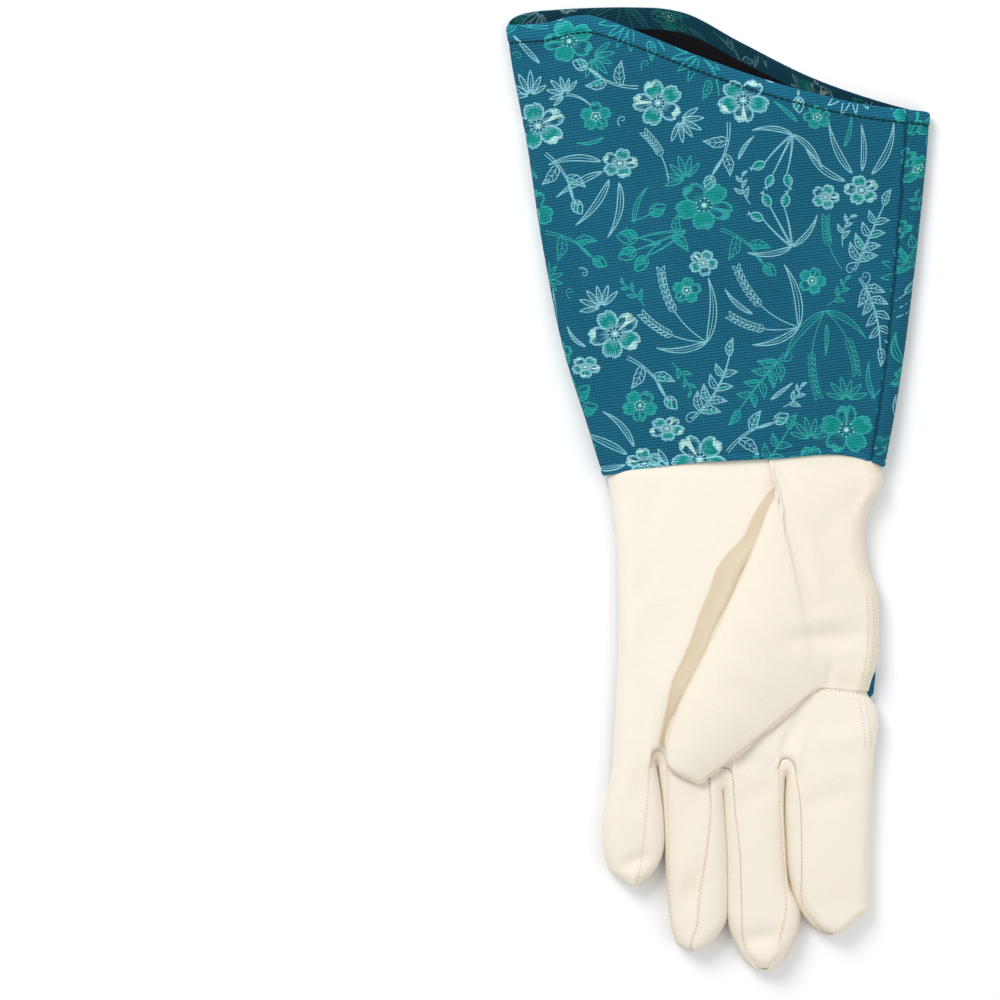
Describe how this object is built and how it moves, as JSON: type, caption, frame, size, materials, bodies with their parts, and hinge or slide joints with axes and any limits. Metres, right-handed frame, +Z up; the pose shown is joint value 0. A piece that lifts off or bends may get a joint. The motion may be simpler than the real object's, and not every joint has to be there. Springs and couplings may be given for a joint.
{
  "type": "rose pruning gauntlet",
  "caption": "Left-hand rose pruning gauntlet lying palm up: cream leather hand with the thumb folded over the palm, and a long flared printed canvas cuff with a hemmed mouth.",
  "frame": {"origin": "middle of the bounding box at the underside, on the surface that the gauntlet lies on", "axes": "+X towards the index finger's side, +Y from the fingers to the cuff's mouth, +Z up out of the palm"},
  "size_m": [0.1866, 0.4228, 0.0242],
  "materials": {
    "cream_leather": "smooth matte cream grain leather",
    "printed_canvas": "ribbed teal blue canvas with a botanical line print in pale mint and green teal",
    "black_lining": "plain black woven lining"
  },
  "bodies": {
    "root": {"cuff_panel": "printed_canvas", "cuff_lining": "black_lining", "palm_panel": "cream_leather", "thumb_panel": "cream_leather", "back_panel": "printed_canvas", "fourchette_little_ring": "cream_leather", "fourchette_ring_middle": "cream_leather", "fourchette_middle_index": "cream_leather", "finger_back_little": "cream_leather", "finger_back_ring": "cream_leather", "finger_back_middle": "cream_leather", "finger_back_index": "cream_leather"}
  },
  "joints": []
}
